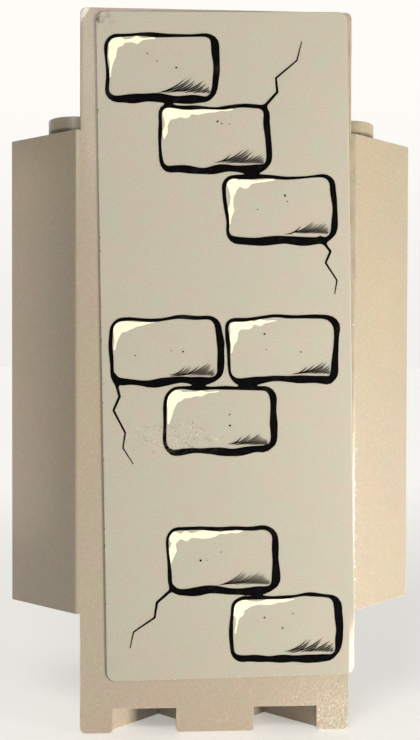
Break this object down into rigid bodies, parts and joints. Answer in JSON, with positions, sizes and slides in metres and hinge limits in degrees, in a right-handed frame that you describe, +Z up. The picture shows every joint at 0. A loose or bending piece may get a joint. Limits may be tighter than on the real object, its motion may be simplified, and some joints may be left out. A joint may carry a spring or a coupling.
{
  "type": "toy wall panel",
  "caption": "Toy building-brick corner wall panel: a tall diagonal face between side wings with studs on top, a low socketed base behind it, and a sticker printed as brickwork on the face.",
  "frame": {"origin": "middle of the square footprint, on the plane of the foot, which is the axis of the base's socket", "axes": "+Z up; +X and +Y along the stud grid; the stickered face looks midway between -X and -Y"},
  "size_m": [0.0238, 0.0239, 0.0576],
  "materials": {
    "panel_plastic": "light warm grey moulded plastic, slightly yellowed, scuffed, softly glossy",
    "sticker_film": "light grey printed vinyl film, satin, with a worn patch and dirt along one edge",
    "ink_black": "black ink of the brick joints and shading dots printed on the sticker",
    "ink_cream": "cream ink of the lit brick edges printed on the sticker"
  },
  "bodies": {
    "root": {"corner_panel": "panel_plastic", "wall_sticker": "sticker_film"}
  },
  "joints": []
}
